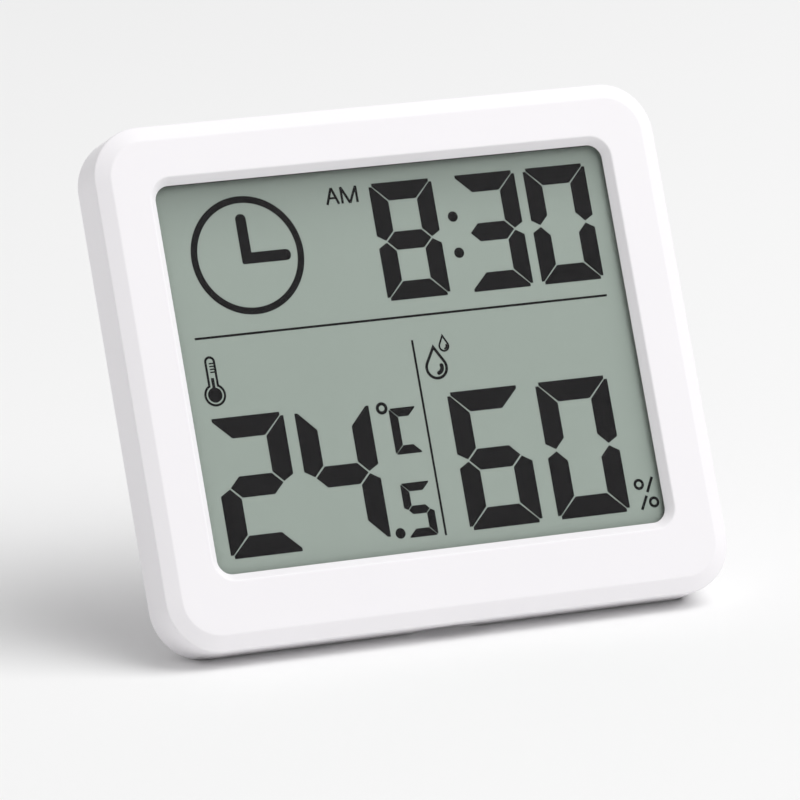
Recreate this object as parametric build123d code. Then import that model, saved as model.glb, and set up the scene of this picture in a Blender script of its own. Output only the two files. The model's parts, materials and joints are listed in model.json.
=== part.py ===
from build123d import *
import os
from math import asin, cos, degrees, radians, sin, sqrt, tan

# Desk thermometer, hygrometer and clock on a fold-out stand. Sizes are in millimetres.
# The case is modelled upright: X runs across the front, Y is the depth behind the front face and
# Z is the height above the bottom edge. The finished pieces are then leaned back on the stand,
# with the floor at Z = 0 and the origin under the middle of the object.

# Window in the front face, and the margins of the case around it
WINDOW_W = 63.9
WINDOW_H = 51.3
WINDOW_R = 2.0
WINDOW_BEVEL_W = 1.0
WINDOW_BEVEL_D = 1.05
SIDE_MARGIN = 8.05
TOP_MARGIN = 8.05
BOTTOM_MARGIN = 9.85

# Front shell
CORNER_R = 7.0
FACE_BEVEL_W = 2.05
FACE_BEVEL_D = 0.8
FACE_T = 1.2
WALL = 1.6
SHELL_D = 7.4            # front face to the rear rim of the side walls
SCOOP_W = 10.8           # finger scoop in the bottom wall: across, front to back, and deep
SCOOP_L = 4.0
SCOOP_DEPTH = 1.0
SCOOP_SETBACK = 2.0      # middle of the scoop in front of the rear rim
RIB_T = 1.0              # ribs that keep the display in place
RIB_W = 5.0
RIB_D = 2.6
RIB_GAP = 0.15
RIB_SPREAD = 20.0        # ribs along the top and bottom, from the middle
FOOT_LAND = 0.8          # flat on the rear bottom edge, where the case stands

# Display cell, from the front
LCD_OVERLAP = 1.6        # glass hidden behind each edge of the window
LCD_LEDGE = 3.6          # contact ledge of the front glass, below the rear glass
POLARISER_T = 0.15
POLARISER_INSET = 0.45
GLASS_T = 0.4
CRYSTAL_T = 0.06
SEAL_W = 1.0

# Display holder and elastomer connector strip
HOLDER_INSET = 0.15
HOLDER_BAR = 5.0
ZEBRA_W = 1.8
ZEBRA_INSET = 4.55       # ends of the strip inside the sides of the display
ZEBRA_RISE = 0.9         # strip above the lower edge of the front glass
ZEBRA_GAP = 0.1

# Circuit board and what is soldered to it
BOARD_T = 1.0
BOARD_INSET = 0.5
BOARD_SETBACK = 1.1      # rear of the board in front of the shell's rear rim
BOARD_R = 1.5
CHIP_R = 5.0
CHIP_H = 1.3
CHIP_SKIRT = 0.13        # straight foot under the rounded top of the resin
CHIP_X = 19.0
CHIP_DROP = 8.6          # chip and crystal below the top of the display
CRYSTAL_R = 1.0
CRYSTAL_L = 6.0
CRYSTAL_FLAT = 0.1       # can cut flat where it is soldered
CRYSTAL_GAP = 1.0        # can beside the chip
SENSOR_W = 3.0
SENSOR_H = 1.0
SENSOR_PORT_R = 0.5
SENSOR_PORT_DEPTH = 0.4
THERMISTOR_SIZE = (2.0, 1.25, 0.9)
THERMISTOR_OFFSET = 5.5  # temperature sensor beside the humidity sensor
CHIP_CAP_SIZE = (2.0, 1.25, 1.0)
CHIP_RES_SIZE = (1.6, 0.8, 0.5)
CHIP_CAP_GAP = 1.0       # row of capacitors beside the keyhole
CHIP_CAP_DROP = 3.25
CHIP_RES_X = -14.0
CHIP_RES_GAP = 2.25      # row of resistors above the stand's recess
SMALL_PITCH = 4.0
SMALL_COUNT = 4

# Screws
COVER_SCREW_V = 10.5     # from the top and bottom edges of the case
BOSS_R = 1.7
BOSS_GAP = 0.35          # boss to the edge of the display
SCREW_R = 0.7
SCREW_L = 5.0
SCREW_HEAD_R = 1.4
SCREW_HEAD_T = 0.8
SCREW_GAP = 0.1          # clearance holes and counterbores, on the radius
THREAD_GAP = 0.02        # pilot holes, on the radius
SCREW_SUNK = 0.2         # head below the rear of the cover
SCREW_SLOT_W = 0.4
SCREW_SLOT_D = 0.4
SCREW_SLOT_MARGIN = 0.5  # ends of the cross recess to the edge of the head
BOARD_SCREW_R = 0.6
BOARD_SCREW_L = 2.6
BOARD_HEAD_R = 1.1
BOARD_HEAD_T = 0.6

# Back cover
COVER_INSET = 0.6        # cover inside the outline of the shell
COVER_RIM = 0.5
COVER_RISE = 2.6         # rear of the cover behind the shell's rim
COVER_BEVEL = 1.4
COVER_T = 1.2
LIP_L = 1.2              # lip that locates the cover inside the shell
LIP_T = 0.8
LIP_GAP = 0.1
POST_R = 1.2             # posts that press on the circuit board
POST_FOOT = 7.0
POST_DROP = 16.75        # upper posts below the top of the display
POST_INSET = 2.6         # posts in from the edge of the display
VENT_L = 9.0
VENT_W = 1.0
VENT_PITCH = 2.2
VENT_COUNT = 4
VENT_SIDE = 17.5         # vents on both sides, from the edges of the case, the sensors behind one
VENT_DROP = 14.2

# Keyhole for a wall screw
KEYHOLE_R = 3.5
KEYHOLE_SLOT_W = 3.6
KEYHOLE_SLOT_L = 6.0
KEYHOLE_DROP = 16.2      # entry below the top edge of the case
KEYHOLE_ROOM = 1.6       # depth for the screw head behind the cover
KEYHOLE_MARGIN = 1.2     # around the room
KEYHOLE_WALL = 0.8
KEYHOLE_FLOOR_T = 0.4

# Coin cell, its cup in the cover and its bayonet door
CELL_R = 10.0
CELL_T = 3.2
CELL_CAP_R = 8.9
CELL_CAP_T = 0.3
CELL_GAP = 0.3
BATTERY_V = 24.5
CUP_WALL = 1.1
CUP_FLOOR = 0.7
DOOR_R = 12.05
DOOR_GAP = 0.15          # door in its seat, on the radius
DOOR_LIFT = 0.05         # sliding clearance under the door and its lugs
SKIRT_T = 0.6
SKIRT_GAP = 0.25         # around the cell
LEDGE_T = 0.6
LUG_T = 0.45
LUG_W = 0.75
LUG_ANGLE = 30.0
LUG_AT = (90.0, 270.0)
LUG_ENTRY_ANGLE = 37.0
DOOR_TURN = 40.0         # turn that frees the door, anticlockwise from behind
DOOR_RING = 0.6          # wall around the door's seat
COIN_SLOT_L = 13.0
COIN_SLOT_W = 1.8
COIN_SLOT_D = 0.6
CONTACT_T = 0.25
CONTACT_W = 3.0
CONTACT_TAIL = 3.0
CONTACT_GAP = 0.2        # slots around the contacts
CLIP_GAP = 0.02          # positive contact to the cell's can
NEGATIVE_OFFSET = -5.0   # negative contact beside the middle of the cell

# Stand leg, hinged on the back cover
LEAN = 24.8              # case leaning back, degrees
STAND_OPEN = 42.0        # leg away from the back when open, degrees
HINGE_V = 39.0
HINGE_INSET = 1.15       # hinge axis in front of the rear of the cover
LEG_W = 11.0
LEG_T = 1.5
LEG_GAP = 0.3
LEG_HEEL = 1.0           # leg above the hinge axis: it meets the recess and stops the leg
LEG_EDGE_R = 0.35
LEG_PANEL_MARGIN = 2.4   # shallow panel on the outer side of the leg
LEG_PANEL_D = 0.35
STOP_GAP = 0.03
TRUNNION_R = 0.7
TRUNNION_L = 1.6
TRUNNION_GAP = 0.05
RECESS_WALL = 2.2
RECESS_FLOOR_T = 0.7

# Push buttons and their switches
BUTTON_R = 3.0
BUTTON_GAP = 0.1
BUTTON_PROUD = 0.6
BUTTON_EDGE_R = 0.4
BUTTON_FLANGE = 0.8
BUTTON_FLANGE_T = 0.6
BUTTON_SEAT_GAP = 0.05
BUTTON_STEM_R = 1.5
BUTTON_SIDE = 17.5       # buttons in from the edge of the case
BUTTON_V = {"mode": 36.0, "up": 24.5, "down": 13.0}
SWITCH_W = 4.6
SWITCH_H = 1.0
SWITCH_FLOOR = 0.3
PLUNGER_R = 1.2
PLUNGER_GAP = 0.05
PLUNGER_IN = 0.35        # plunger inside its switch at rest

# Display artwork, placed from its own middle and spread to fill the window
ART_MIDDLE = (0.37, 0.01)            # right of and above the middle of the window
ART_SIDE = 0.27          # artwork to the right side of the window
ART_END = 1.79           # artwork to the foot of the window
SEGMENT_GAP = 0.075      # between segments, in strokes
SEGMENT_CLIP = 0.18      # corner cut off a segment, in strokes
SEGMENT_SHOULDER = 30.0  # slope of an upright's outer end, degrees
TIME_DIGIT = (9.0, 15.75, 2.45)      # width, height and stroke
READING_DIGIT = (10.45, 18.4, 2.8)
TENTH_DIGIT = (4.2, 7.2, 1.12)
UNIT_DIGIT = (3.9, 6.15, 1.18)
TIME_BASE = 7.65
READING_BASE = -23.6
UNIT_AT = (-4.8, -12.6)
TENTH_X = -5.0
TIME_LAYOUT = (("8", -2.15), ("3", 9.83), ("0", 20.1))
READING_LAYOUT = (("2", -29.95), ("4", -17.95), ("6", 3.75), ("0", 16.45))
COLON_AT = ((9.04, 17.96), (9.04, 13.08))
POINT_AT = (-6.1, -22.85)
DOT_R = 0.7
DEGREE_AT = (-5.7, -6.3)
DEGREE_R = 0.82
DEGREE_STROKE = 0.43
FINE_STROKE = 0.31
RULE_T = 0.3
RULE_ACROSS = ((-29.85, 5.375), (29.05, 5.375))
RULE_DOWN = ((0.21, 2.2), (0.21, -23.8))
DIAL_AT = (-20.6, 15.62)
DIAL_R = 7.86
DIAL_STROKE = 0.91
HAND_W = 1.47
HAND_R = 0.68
HAND_HUB = (-20.75, 15.2)
HUB_R = 0.3              # corner where the hands meet
MINUTE_HAND_L = 5.9
HOUR_HAND_L = 6.15
LETTER_BASE = 21.15
LETTER_H = 2.2
LETTER_STROKE = 0.34
LETTER_BAR_T = 0.27
LETTER_BAR_RISE = 0.7
LETTER_BAR_INSET = 0.44
LETTER_A_X = (-8.3, -6.65)
LETTER_M_X = (-6.12, -4.0)
TUBE_X = -28.35
TUBE_TOP = 2.98
TUBE_W = 1.5
BULB_V = -2.15
BULB_R = 1.5
BULB_FILL_R = 0.99
COLUMN_W = 0.42
COLUMN_TOP = 0.1
TICK_L = 0.75
TICK_T = 0.18
TICK_V = (2.0, 1.62, 1.24, 0.86)
DROPS = (((3.0, -1.75), 1.6, 3.1, 0.38), ((4.55, 0.98), 0.77, 1.66, 0.25))   # centre, radius, tip, stroke
DROP_SHADE_R = 0.48      # arc of shade inside a drop, and its width, in radii of the drop
DROP_SHADE_W = 0.34
DROP_SHADE_ARC = (-75, 93)           # start and size, degrees
PERCENT_RINGS = ((28.75, -20.2), (30.5, -22.75))
PERCENT_R = 0.75
PERCENT_STROKE = 0.38
PERCENT_BARS = (((29.78, -21.35), (30.8, -19.4)), ((28.6, -23.6), (29.58, -21.8)))

# Sizes that follow from the ones above
BODY_W = WINDOW_W + 2 * SIDE_MARGIN
BODY_H = WINDOW_H + TOP_MARGIN + BOTTOM_MARGIN
BODY_D = SHELL_D + COVER_RISE
WINDOW_V = BOTTOM_MARGIN + WINDOW_H / 2

LCD_W = WINDOW_W + 2 * LCD_OVERLAP
LCD_H = WINDOW_H + 2 * LCD_OVERLAP
LCD_TOP = WINDOW_V + LCD_H / 2
LCD_FOOT = WINDOW_V - LCD_H / 2 - LCD_LEDGE
FRONT_GLASS_D = FACE_T + POLARISER_T
SEGMENTS_D = FRONT_GLASS_D + GLASS_T
REAR_GLASS_D = SEGMENTS_D + CRYSTAL_T
REFLECTOR_D = REAR_GLASS_D + GLASS_T
LCD_BACK = REFLECTOR_D + POLARISER_T
ZEBRA_L = LCD_W - 2 * ZEBRA_INSET

ART_REACH_X = PERCENT_RINGS[1][0] + PERCENT_R
ART_REACH_V = -RULE_DOWN[1][1]
ART_ACROSS = (WINDOW_W / 2 - ART_MIDDLE[0] - ART_SIDE) / ART_REACH_X
ART_UP = (WINDOW_H / 2 + ART_MIDDLE[1] - ART_END) / ART_REACH_V

BOARD_BACK = SHELL_D - BOARD_SETBACK
BOARD_FRONT = BOARD_BACK - BOARD_T
COVER_INNER = BODY_D - COVER_T
LIP_FRONT = SHELL_D - LIP_L
BOSS_END = LIP_FRONT - 2 * LIP_GAP
COVER_SCREW_X = LCD_W / 2 + BOSS_GAP + BOSS_R
SCREW_SEAT = BODY_D - SCREW_SUNK - SCREW_HEAD_T
BOARD_SCREW_X = LCD_W / 2 - HOLDER_INSET - HOLDER_BAR / 2
BOARD_SCREW_V = (LCD_FOOT + LCD_LEDGE + HOLDER_BAR / 2, LCD_TOP - HOLDER_INSET - HOLDER_BAR / 2)

RECESS_HALF = LEG_W / 2 + LEG_GAP
HINGE_D = BODY_D - HINGE_INSET
RECESS_FLOOR = (HINGE_D - LEG_HEEL * sin(radians(STAND_OPEN)) - LEG_T / 2 * cos(radians(STAND_OPEN))
                - STOP_GAP)
RECESS_TOP = HINGE_V + sqrt(LEG_HEEL ** 2 + (LEG_T / 2) ** 2) + LEG_GAP

SEAT_R = DOOR_R + DOOR_GAP
SKIRT_IN_R = CELL_R + SKIRT_GAP
SKIRT_R = SKIRT_IN_R + SKIRT_T
LUG_R = SKIRT_R + LUG_W
GROOVE_R = LUG_R + DOOR_GAP
CUP_R = CELL_R + CELL_GAP
CUP_OUT_R = CUP_R + CUP_WALL
RING_R = SEAT_R + DOOR_RING
LEDGE_FRONT = COVER_INNER - LEDGE_T
GROOVE_FRONT = LEDGE_FRONT - LUG_T - 2 * DOOR_LIFT
CELL_BACK = COVER_INNER - DOOR_LIFT - SKIRT_GAP
CELL_FRONT = CELL_BACK - CELL_T
CUP_INNER = CELL_FRONT - CONTACT_T
CUP_FRONT = CUP_INNER - CUP_FLOOR
BATTERY_X = RECESS_HALF + RECESS_WALL + RING_R + LEG_GAP

KEYHOLE_V = BODY_H - KEYHOLE_DROP
KEYHOLE_FLOOR = COVER_INNER - KEYHOLE_ROOM
KEYHOLE_HALF = KEYHOLE_R + KEYHOLE_MARGIN

VENT_X = BODY_W / 2 - VENT_SIDE
VENT_V = BODY_H - VENT_DROP
BUTTON_X = BUTTON_SIDE - BODY_W / 2
CHIP_V = LCD_TOP - CHIP_DROP
CRYSTAL_X = CHIP_X - CHIP_R - CRYSTAL_GAP - CRYSTAL_L / 2
ROW_L = (SMALL_COUNT - 1) * SMALL_PITCH
CHIP_CAP_X = -KEYHOLE_HALF - KEYHOLE_WALL - CHIP_CAP_GAP - CHIP_CAP_SIZE[0] / 2 - ROW_L
CHIP_CAP_V = LCD_TOP - CHIP_CAP_DROP
CHIP_RES_V = RECESS_TOP + RECESS_WALL + CHIP_RES_GAP

FLANGE_BACK = COVER_INNER - BUTTON_SEAT_GAP
FLANGE_FRONT = FLANGE_BACK - BUTTON_FLANGE_T
SWITCH_BACK = BOARD_BACK + SWITCH_H
PLUNGER_BACK = SWITCH_BACK + (FLANGE_FRONT - SWITCH_BACK) / 2


# Shapes used throughout

def face_plane(depth):
    """Plane parallel to the front face, with local x to the right and y up the face."""
    return Plane(origin=(0, depth, 0), x_dir=(1, 0, 0), z_dir=(0, -1, 0))


def plate(outline, front, back):
    """Solid with the given outline between two depths."""
    return extrude(face_plane(back) * outline, back - front, dir=(0, -1, 0))


def bevelled(front_outline, front, back_outline, back):
    """Solid that runs straight from one outline to another, as a bevelled edge does."""
    return loft([face_plane(front) * front_outline, face_plane(back) * back_outline], ruled=True)


def span(x0, x1, v0, v1):
    """Rectangle between two corners."""
    return Pos((x0 + x1) / 2, (v0 + v1) / 2) * Rectangle(x1 - x0, v1 - v0)


def rod(at, radius, front, back):
    return plate(Pos(*at) * Circle(radius), front, back)


def ring(at, radius, inner_radius, front, back):
    return plate(Pos(*at) * (Circle(radius) - Circle(inner_radius)), front, back)


def case_outline(inset):
    """Outline of the case, moved in from its edge."""
    shape = RectangleRounded(BODY_W - 2 * inset, BODY_H - 2 * inset, CORNER_R - inset)
    return Pos(0, BODY_H / 2) * shape


def window_outline(margin):
    shape = RectangleRounded(WINDOW_W + 2 * margin, WINDOW_H + 2 * margin, WINDOW_R + margin)
    return Pos(0, WINDOW_V) * shape


def lcd_outline(inset, foot):
    """Outline of a layer of the display, whose lower edge is at the given height."""
    return span(inset - LCD_W / 2, LCD_W / 2 - inset, foot + inset, LCD_TOP - inset)


def group(pieces):
    """Several separate solids kept in one piece."""
    return Compound([solid for piece in pieces for solid in piece.solids()])


def four_points(x, low, high):
    return [(side * x, v) for v in (low, high) for side in (-1, 1)]


# Front shell

def finger_scoop():
    """Spindle that cuts a lens-shaped hollow into the bottom wall."""
    half_length = SCOOP_L / 2
    middle_r = (half_length ** 2 / SCOOP_DEPTH + SCOOP_DEPTH) / 2
    axis_drop = middle_r - SCOOP_DEPTH
    arc_r = ((SCOOP_W / 2) ** 2 + SCOOP_DEPTH ** 2) / (2 * SCOOP_DEPTH)
    half_chord = sqrt(2 * arc_r * middle_r - middle_r ** 2)
    left, right = (-half_chord, -axis_drop), (half_chord, -axis_drop)
    profile = make_face([ThreePointArc(left, (0, SCOOP_DEPTH), right), Line(right, left)])
    depth = SHELL_D - SCOOP_SETBACK
    return revolve(face_plane(depth) * profile, Axis((0, depth, -axis_drop), (1, 0, 0)), 360)


def display_ribs():
    """Ribs on the inside of the front face, around the display."""
    half_w = RIB_W / 2
    side = LCD_W / 2 + RIB_GAP
    ribs = []
    for x in (-RIB_SPREAD, RIB_SPREAD):
        ribs.append(span(x - half_w, x + half_w, LCD_TOP + RIB_GAP, LCD_TOP + RIB_GAP + RIB_T))
        ribs.append(span(x - half_w, x + half_w, LCD_FOOT - RIB_GAP - RIB_T, LCD_FOOT - RIB_GAP))
    for sign in (-1, 1):
        inner, outer = sorted((sign * side, sign * (side + RIB_T)))
        ribs.append(span(inner, outer, WINDOW_V - half_w, WINDOW_V + half_w))
    return [plate(rib, FACE_T, FACE_T + RIB_D) for rib in ribs]


def cover_screw_points():
    return four_points(COVER_SCREW_X, COVER_SCREW_V, BODY_H - COVER_SCREW_V)


def front_shell():
    shell = bevelled(case_outline(FACE_BEVEL_W), 0, case_outline(0), FACE_BEVEL_D)
    shell += plate(case_outline(0), FACE_BEVEL_D, SHELL_D)
    shell -= plate(case_outline(WALL), FACE_T, SHELL_D)
    shell -= bevelled(window_outline(WINDOW_BEVEL_W), 0, window_outline(0), WINDOW_BEVEL_D)
    shell -= plate(window_outline(0), WINDOW_BEVEL_D, FACE_T)
    shell += display_ribs()
    pilot_end = SCREW_SEAT - SCREW_L - SCREW_GAP
    for at in cover_screw_points():
        shell += rod(at, BOSS_R, FACE_T, BOSS_END)
        shell -= rod(at, SCREW_R + THREAD_GAP, pilot_end, BOSS_END)
    return shell - finger_scoop()


# Display

def segment_outlines(width, height, stroke):
    """The seven segments of one digit, lower left corner at the origin, keyed a to g."""
    mitre = SEGMENT_GAP * stroke / sqrt(2)
    half = stroke / 2
    middle = height / 2
    clip = SEGMENT_CLIP * stroke
    shoulder = middle + mitre + half * tan(radians(SEGMENT_SHOULDER))
    upright = [(0, shoulder), (half, middle + mitre), (stroke, middle + half + mitre),
               (stroke, height - stroke - mitre), (clip - mitre / 2, height - clip), (0, height - clip)]
    cross = [(clip, height), (clip, height - clip + mitre / 2), (stroke + mitre, height - stroke),
             (width - stroke - mitre, height - stroke), (width - clip, height - clip + mitre / 2),
             (width - clip, height)]
    bar = [(half + mitre, middle), (stroke + mitre, middle - half), (width - stroke - mitre, middle - half),
           (width - half - mitre, middle), (width - stroke - mitre, middle + half),
           (stroke + mitre, middle + half)]
    to_right = [(width - x, y) for x, y in upright]
    return {
        "a": cross,
        "b": to_right,
        "c": [(x, height - y) for x, y in to_right],
        "d": [(x, height - y) for x, y in cross],
        "e": [(x, height - y) for x, y in upright],
        "f": upright,
        "g": bar,
    }


LIT = {"0": "abcdef", "2": "abged", "3": "abgcd", "4": "fgbc", "5": "afgcd", "6": "afgecd",
       "8": "abcdefg"}


def digit(symbol, at, size):
    outlines = segment_outlines(*size)
    return [Pos(*at) * Polygon(*outlines[name]) for name in LIT[symbol]]


def celsius(at, size):
    """The letter of the temperature unit: a top bar, one tall upright and a bottom bar."""
    _, height, stroke = size
    outlines = segment_outlines(*size)
    upper = [point for point in outlines["f"] if point[1] > height / 2 + stroke]
    lower = [(x, height - y) for x, y in reversed(upper)]
    return [Pos(*at) * Polygon(*points) for points in (outlines["a"], upper + lower, outlines["d"])]


def stroke_line(start, end, thickness):
    """Straight stroke between two points."""
    run = Vector(*end) - Vector(*start)
    middle = (Vector(*start) + Vector(*end)) / 2
    angle = degrees(asin(run.Y / run.length))
    if run.X < 0:
        angle = 180 - angle
    return Pos(middle.X, middle.Y) * Rot(0, 0, angle) * Rectangle(run.length, thickness)


def spread(at):
    """Place of a point of the artwork in the window."""
    return ART_MIDDLE[0] + at[0] * ART_ACROSS, ART_MIDDLE[1] + at[1] * ART_UP


def fitted(shapes, anchor):
    """Shapes of the artwork, moved with their anchor and kept in proportion."""
    x, y = anchor
    new_x, new_y = spread(anchor)
    fit = min(ART_ACROSS, ART_UP)
    return [Pos(new_x - x, new_y - y) * scale(shape, by=fit, about=(x, y, 0)) for shape in shapes]


def circle_stroke(at, radius, stroke):
    return Pos(*at) * (Circle(radius) - Circle(radius - stroke))


def dial_icon():
    """Clock face: a ring, and two hands joined at a corner."""
    x, y = HAND_HUB
    half = HAND_W / 2
    minute_h = MINUTE_HAND_L + half
    hour_w = HOUR_HAND_L + half
    minute = Pos(x, y - half + minute_h / 2) * RectangleRounded(HAND_W, minute_h, HAND_R)
    hour = Pos(x - half + hour_w / 2, y) * RectangleRounded(hour_w, HAND_W, HAND_R)
    hub = Pos(x, y) * RectangleRounded(HAND_W, HAND_W, HUB_R)
    return [circle_stroke(DIAL_AT, DIAL_R, DIAL_STROKE), minute + hour + hub]


def morning_letters():
    """Half-day sign beside the time, drawn with straight strokes."""
    top = LETTER_BASE + LETTER_H
    left, right = LETTER_A_X
    apex = ((left + right) / 2, top)
    bar_foot = LETTER_BASE + LETTER_BAR_RISE
    letter_a = stroke_line((left, LETTER_BASE), apex, LETTER_STROKE)
    letter_a += stroke_line((right, LETTER_BASE), apex, LETTER_STROKE)
    letter_a += span(left + LETTER_BAR_INSET, right - LETTER_BAR_INSET, bar_foot, bar_foot + LETTER_BAR_T)
    left, right = LETTER_M_X
    valley = ((left + right) / 2, LETTER_BASE)
    letter_m = stroke_line((left, top), valley, LETTER_STROKE)
    letter_m += stroke_line((right, top), valley, LETTER_STROKE)
    for x in (left, right):
        letter_m += stroke_line((x, LETTER_BASE), (x, top), LETTER_STROKE)
    return [letter_a, letter_m]


def thermometer_icon():
    """Outlined tube and bulb, filled bulb and column, and scale marks."""
    def tube(inset):
        half = TUBE_W / 2 - inset
        shape = Pos(TUBE_X, BULB_V) * Circle(BULB_R - inset)
        shape += span(TUBE_X - half, TUBE_X + half, BULB_V, TUBE_TOP - inset - half)
        return shape + Pos(TUBE_X, TUBE_TOP - inset - half) * Circle(half)

    fill = Pos(TUBE_X, BULB_V) * Circle(BULB_FILL_R)
    fill += span(TUBE_X - COLUMN_W / 2, TUBE_X + COLUMN_W / 2, BULB_V, COLUMN_TOP)
    outline = tube(0) - tube(FINE_STROKE)
    mark_end = TUBE_X + TUBE_W / 2 - FINE_STROKE / 2
    for v in TICK_V:
        outline += span(mark_end - TICK_L, mark_end, v - TICK_T / 2, v + TICK_T / 2)
    return [outline, fill]


def drop_icon(at, radius, tip, stroke):
    """Outlined water drop with a short arc of shade inside."""
    def drop(r):
        reach = tip * r / radius
        lift = r * r / reach
        across = sqrt(r * r - lift * lift)
        return Circle(r) + Polygon((-across, lift), (across, lift), (0, reach))

    shade = SlotArc(CenterArc((0, 0), radius * DROP_SHADE_R, *DROP_SHADE_ARC), radius * DROP_SHADE_W)
    return [Pos(*at) * (drop(radius) - drop(radius - stroke)), Pos(*at) * shade]


def percent_icon():
    rings = [circle_stroke(at, PERCENT_R, PERCENT_STROKE) for at in PERCENT_RINGS]
    return rings + [stroke_line(start, end, PERCENT_STROKE) for start, end in PERCENT_BARS]


def display_artwork():
    """Every dark shape on the display, placed from the middle of the window."""
    art = []
    digits = [(symbol, (x, TIME_BASE), TIME_DIGIT) for symbol, x in TIME_LAYOUT]
    digits += [(symbol, (x, READING_BASE), READING_DIGIT) for symbol, x in READING_LAYOUT]
    digits.append(("5", (TENTH_X, READING_BASE), TENTH_DIGIT))
    for symbol, at, size in digits:
        art += fitted(digit(symbol, at, size), at)
    art += fitted(celsius(UNIT_AT, UNIT_DIGIT), UNIT_AT)
    for at in (*COLON_AT, POINT_AT):
        art += fitted([Pos(*at) * Circle(DOT_R)], at)
    art += fitted([circle_stroke(DEGREE_AT, DEGREE_R, DEGREE_STROKE)], DEGREE_AT)
    for start, end in (RULE_ACROSS, RULE_DOWN):
        art.append(stroke_line(spread(start), spread(end), RULE_T))
    art += fitted(dial_icon(), DIAL_AT)
    art += fitted(morning_letters(), (LETTER_M_X[0], LETTER_BASE))
    art += fitted(thermometer_icon(), (TUBE_X, BULB_V))
    art += fitted(percent_icon(), PERCENT_RINGS[1])
    for at, radius, tip, stroke in DROPS:
        art += fitted(drop_icon(at, radius, tip, stroke), at)
    return art


def lcd_segments():
    """Darkened liquid crystal between the two glasses."""
    shapes = display_artwork()
    return group([plate(Pos(0, WINDOW_V) * shape, SEGMENTS_D, REAR_GLASS_D) for shape in shapes])


def display_pieces():
    full = LCD_FOOT + LCD_LEDGE
    inner = lcd_outline(SEAL_W, full)
    return {
        "lcd_front_polariser": plate(lcd_outline(POLARISER_INSET, full), FACE_T, FRONT_GLASS_D),
        "lcd_front_glass": plate(lcd_outline(0, LCD_FOOT), FRONT_GLASS_D, SEGMENTS_D),
        "lcd_segments": lcd_segments(),
        "lcd_seal": plate(lcd_outline(0, full) - inner, SEGMENTS_D, REAR_GLASS_D),
        "lcd_rear_glass": plate(lcd_outline(0, full), REAR_GLASS_D, REFLECTOR_D),
        "lcd_reflector": plate(lcd_outline(POLARISER_INSET, full), REFLECTOR_D, LCD_BACK),
    }


# Holder, connector strip and circuit board

def zebra_outline(gap):
    half = ZEBRA_L / 2 + gap
    foot = LCD_FOOT + ZEBRA_RISE
    return span(-half, half, foot - gap, foot + ZEBRA_W + gap)


def board_screw_points():
    return four_points(BOARD_SCREW_X, *BOARD_SCREW_V)


def lcd_holder():
    full = LCD_FOOT + LCD_LEDGE
    holder = plate(lcd_outline(HOLDER_INSET, LCD_FOOT), LCD_BACK, BOARD_FRONT)
    holder -= plate(lcd_outline(HOLDER_INSET + HOLDER_BAR, full), LCD_BACK, BOARD_FRONT)
    holder -= plate(zebra_outline(ZEBRA_GAP), LCD_BACK, BOARD_FRONT)
    holder -= rod((BATTERY_X, BATTERY_V), CUP_OUT_R + CELL_GAP, CUP_FRONT - CONTACT_GAP, BOARD_FRONT)
    hole_end = BOARD_BACK - BOARD_SCREW_L - SCREW_GAP
    for at in board_screw_points():
        holder -= rod(at, BOARD_SCREW_R + THREAD_GAP, hole_end, BOARD_FRONT)
    return holder


def contact_slot(offset, reach):
    """Room for a contact through the wall of the battery cup, out to the given distance."""
    half = CONTACT_W / 2 + CONTACT_GAP
    x = BATTERY_X + offset
    return span(x - half, x + half, BATTERY_V + CELL_R / 2, BATTERY_V + reach)


def circuit_board():
    width = LCD_W - 2 * BOARD_INSET
    height = LCD_TOP - LCD_FOOT - 2 * BOARD_INSET
    outline = Pos(0, (LCD_TOP + LCD_FOOT) / 2) * RectangleRounded(width, height, BOARD_R)
    cut_r = CUP_OUT_R + CELL_GAP
    bite = span(BATTERY_X, width / 2 + cut_r, BATTERY_V - CELL_R / 2, BATTERY_V + CELL_R / 2)
    outline -= Pos(BATTERY_X, BATTERY_V) * Circle(cut_r) + bite
    outline -= contact_slot(NEGATIVE_OFFSET, cut_r)
    for at in board_screw_points():
        outline -= Pos(*at) * Circle(BOARD_SCREW_R + SCREW_GAP)
    return plate(outline, BOARD_FRONT, BOARD_BACK)


def on_board(at, size):
    """Small box-shaped component on the rear of the board."""
    length, breadth, height = size
    return plate(Pos(*at) * Rectangle(length, breadth), BOARD_BACK, BOARD_BACK + height)


def component_row(start, size):
    return group([on_board((start[0] + i * SMALL_PITCH, start[1]), size) for i in range(SMALL_COUNT)])


def chip_blob():
    """Flat drop of resin over the bare chip."""
    blob = rod((CHIP_X, CHIP_V), CHIP_R, BOARD_BACK, BOARD_BACK + CHIP_H)
    return fillet(blob.faces().sort_by(Axis.Y)[-1].edges(), CHIP_H - CHIP_SKIRT)


def quartz_crystal():
    """Small can lying on the board, on a pad cut flat where it is soldered."""
    x, v = CRYSTAL_X, CHIP_V
    axis_depth = BOARD_BACK + CRYSTAL_R - CRYSTAL_FLAT
    can = Pos(x, axis_depth, v) * Rot(0, 90, 0) * Cylinder(CRYSTAL_R, CRYSTAL_L)
    pad = span(x - CRYSTAL_L, x + CRYSTAL_L, v - CRYSTAL_R, v + CRYSTAL_R)
    return can - plate(pad, BOARD_BACK - CRYSTAL_FLAT, BOARD_BACK)


def sensor_point():
    return -VENT_X, VENT_V


def humidity_sensor():
    body = on_board(sensor_point(), (SENSOR_W, SENSOR_W, SENSOR_H))
    top = BOARD_BACK + SENSOR_H
    return body - rod(sensor_point(), SENSOR_PORT_R, top - SENSOR_PORT_DEPTH, top)


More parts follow.
